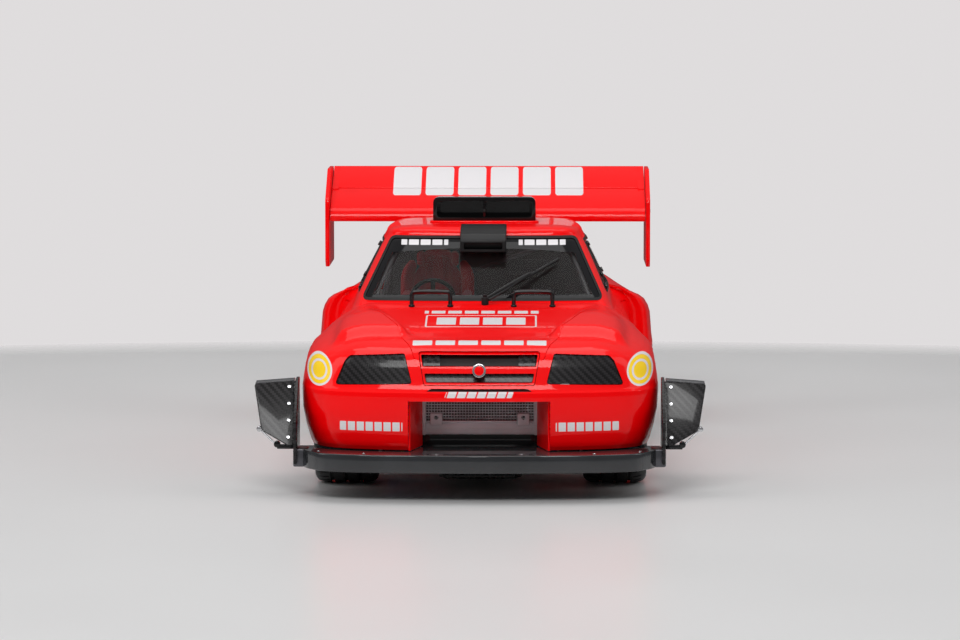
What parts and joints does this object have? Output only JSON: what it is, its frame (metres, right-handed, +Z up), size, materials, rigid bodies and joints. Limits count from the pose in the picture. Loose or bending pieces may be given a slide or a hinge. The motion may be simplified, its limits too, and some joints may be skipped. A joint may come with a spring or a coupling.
{
  "type": "rc drift car",
  "caption": "Remote control drift car with a lift-off red coupe body, front splitter, dive plates, roof scoop and a tall rear wing over a rear-drive chassis.",
  "frame": {"origin": "on the ground below the middle of the car's bounding box", "axes": "+Z up, +X to the right when the nose is seen from the front, nose towards -Y"},
  "size_m": [0.2398, 0.47, 0.1516],
  "materials": {
    "red_paint": "clear-coated gloss red",
    "glass": "lightly smoked clear plastic",
    "black_gloss": "gloss black",
    "black_plastic": "satin moulded black",
    "carbon": "lacquered carbon twill",
    "aluminium": "brushed",
    "steel": "turned",
    "seat_fabric": "woven red",
    "battery_case": "moulded blue hard case",
    "gear_nylon": "moulded nylon",
    "spring_steel": "anodised and coated spring",
    "rim_plastic": "gloss white",
    "tyre_rubber": "hard drift compound"
  },
  "bodies": {
    "chassis": {"chassis_plate": "carbon", "battery_pack": "battery_case", "speed_controller": "black_plastic", "receiver": "black_plastic", "steering_servo": "black_plastic", "gearbox": "black_plastic", "motor": "aluminium", "front_tower": "carbon", "rear_tower": "carbon"},
    "body": {"body_shell": "red_paint", "windscreen": "glass", "rear_window": "glass", "grille": "red_paint", "roof_scoop": "black_gloss", "screen_pod": "black_gloss", "wiper": "black_plastic", "front_splitter": "carbon", "intercooler": "aluminium", "wing_main": "red_paint", "wing_flap": "red_paint", "wing_stand": "carbon", "cockpit_tray": "black_plastic", "bucket_seat": "seat_fabric", "cockpit_wheel": "black_plastic", "side_window_right": "glass", "headlight_cover_right": "carbon", "bonnet_hoop_right": "black_gloss", "splitter_fence_right": "carbon", "dive_plate_right": "carbon", "wing_end_plate_right": "red_paint", "side_window_left": "glass", "headlight_cover_left": "carbon", "bonnet_hoop_left": "black_gloss", "splitter_fence_left": "carbon", "dive_plate_left": "carbon", "wing_end_plate_left": "red_paint"},
    "rack": {"steering_rack": "aluminium"},
    "pinion": {"motor_pinion": "steel"},
    "spur": {"spur_gear": "gear_nylon"},
    "front_arm_right": {"front_arm_right": "black_plastic", "front_damper_right": "spring_steel"},
    "rear_arm_right": {"rear_arm_right": "black_plastic", "rear_damper_right": "spring_steel"},
    "knuckle_right": {"knuckle_right": "aluminium"},
    "front_wheel_right": {"front_rim_right": "rim_plastic", "front_tyre_right": "tyre_rubber"},
    "rear_wheel_right": {"rear_rim_right": "rim_plastic", "rear_tyre_right": "tyre_rubber", "rear_driveshaft_right": "steel"},
    "front_arm_left": {"front_arm_left": "black_plastic", "front_damper_left": "spring_steel"},
    "rear_arm_left": {"rear_arm_left": "black_plastic", "rear_damper_left": "spring_steel"},
    "knuckle_left": {"knuckle_left": "aluminium"},
    "front_wheel_left": {"front_rim_left": "rim_plastic", "front_tyre_left": "tyre_rubber"},
    "rear_wheel_left": {"rear_rim_left": "rim_plastic", "rear_tyre_left": "tyre_rubber", "rear_driveshaft_left": "steel"}
  },
  "joints": [
    {"name": "body_lift", "type": "slide", "parent": "chassis", "child": "body", "axis": [0, 0, 1], "range_m": [0, 0.06]},
    {"name": "rack_slide", "type": "slide", "parent": "chassis", "child": "rack", "axis": [1, 0, 0], "range_m": [-0.0095, 0.0095]},
    {"name": "front_suspension_right", "type": "hinge", "parent": "chassis", "child": "front_arm_right", "pos_m": [0.022, -0.14, 0.015], "axis": [0, -1, 0], "range_deg": [-4, 4], "stiffness_Nm_per_rad": 2, "springref_deg": -5.73},
    {"name": "rear_suspension_right", "type": "hinge", "parent": "chassis", "child": "rear_arm_right", "pos_m": [0.022, 0.117, 0.015], "axis": [0, -1, 0], "range_deg": [-4, 4], "stiffness_Nm_per_rad": 2, "springref_deg": -5.73},
    {"name": "steer_right", "type": "hinge", "parent": "front_arm_right", "child": "knuckle_right", "pos_m": [0.06, -0.14, 0.0325], "axis": [0, 0, 1], "range_deg": [-30, 30]},
    {"name": "front_wheel_spin_right", "type": "hinge", "parent": "knuckle_right", "child": "front_wheel_right", "pos_m": [0.072, -0.14, 0.0325], "axis": [1, 0, 0], "continuous": true},
    {"name": "rear_wheel_spin_right", "type": "hinge", "parent": "rear_arm_right", "child": "rear_wheel_right", "pos_m": [0.077, 0.117, 0.0325], "axis": [1, 0, 0], "continuous": true},
    {"name": "front_suspension_left", "type": "hinge", "parent": "chassis", "child": "front_arm_left", "pos_m": [-0.022, -0.14, 0.015], "axis": [0, 1, 0], "range_deg": [-4, 4], "stiffness_Nm_per_rad": 2, "springref_deg": -5.73},
    {"name": "rear_suspension_left", "type": "hinge", "parent": "chassis", "child": "rear_arm_left", "pos_m": [-0.022, 0.117, 0.015], "axis": [0, 1, 0], "range_deg": [-4, 4], "stiffness_Nm_per_rad": 2, "springref_deg": -5.73},
    {"name": "steer_left", "type": "hinge", "parent": "front_arm_left", "child": "knuckle_left", "pos_m": [-0.06, -0.14, 0.0325], "axis": [0, 0, 1], "range_deg": [-30, 30]},
    {"name": "front_wheel_spin_left", "type": "hinge", "parent": "knuckle_left", "child": "front_wheel_left", "pos_m": [-0.072, -0.14, 0.0325], "axis": [1, 0, 0], "continuous": true},
    {"name": "rear_wheel_spin_left", "type": "hinge", "parent": "rear_arm_left", "child": "rear_wheel_left", "pos_m": [-0.077, 0.117, 0.0325], "axis": [1, 0, 0], "continuous": true},
    {"name": "spur_spin", "type": "hinge", "parent": "chassis", "child": "spur", "pos_m": [0.0335, 0.088, 0.038], "axis": [1, 0, 0], "continuous": true},
    {"name": "pinion_spin", "type": "hinge", "parent": "chassis", "child": "pinion", "pos_m": [0.034, 0.06389, 0.0275], "axis": [1, 0, 0], "continuous": true}
  ],
  "couplings": [
    {"joint": "steer_right", "follows": "rack_slide", "rad_per_m": -52.6},
    {"joint": "steer_left", "follows": "rack_slide", "rad_per_m": -52.6},
    {"joint": "rear_wheel_spin_left", "follows": "rear_wheel_spin_right", "ratio": 1},
    {"joint": "spur_spin", "follows": "rear_wheel_spin_right", "ratio": 2},
    {"joint": "pinion_spin", "follows": "rear_wheel_spin_right", "ratio": -6.6667}
  ]
}
